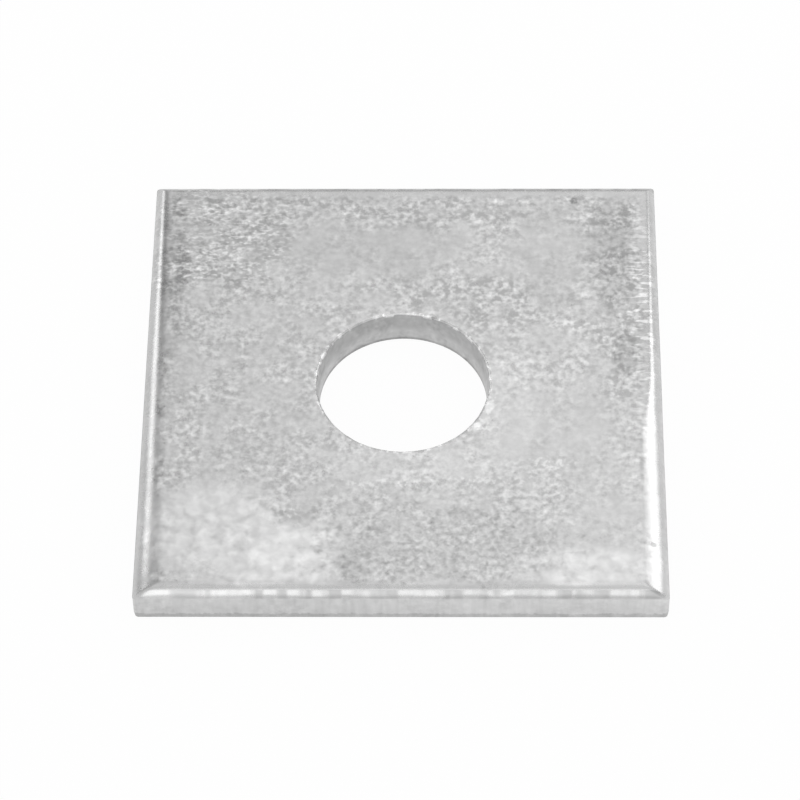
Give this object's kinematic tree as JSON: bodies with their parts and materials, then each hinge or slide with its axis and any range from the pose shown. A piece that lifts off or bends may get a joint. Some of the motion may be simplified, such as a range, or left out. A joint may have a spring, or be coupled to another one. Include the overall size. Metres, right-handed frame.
{
  "type": "single hole square bracket",
  "caption": "Flat square zinc-coated steel plate with a central punched clearance hole, clamped under a bolt head or nut on strut channel.",
  "frame": {"origin": "on the axis of the hole, at the underside that the plate lies on", "axes": "+Z along the axis of the hole, out of the top face, which is the one with the rolled-over edges; X and Y square to the sheared sides"},
  "size_m": [0.04, 0.04, 0.003],
  "materials": {
    "zinc_coated_steel": "light grey zinc coat with a fine mottled grain, satin, brighter on the rolled-over edges"
  },
  "bodies": {
    "root": {"square_plate": "zinc_coated_steel"}
  },
  "joints": []
}
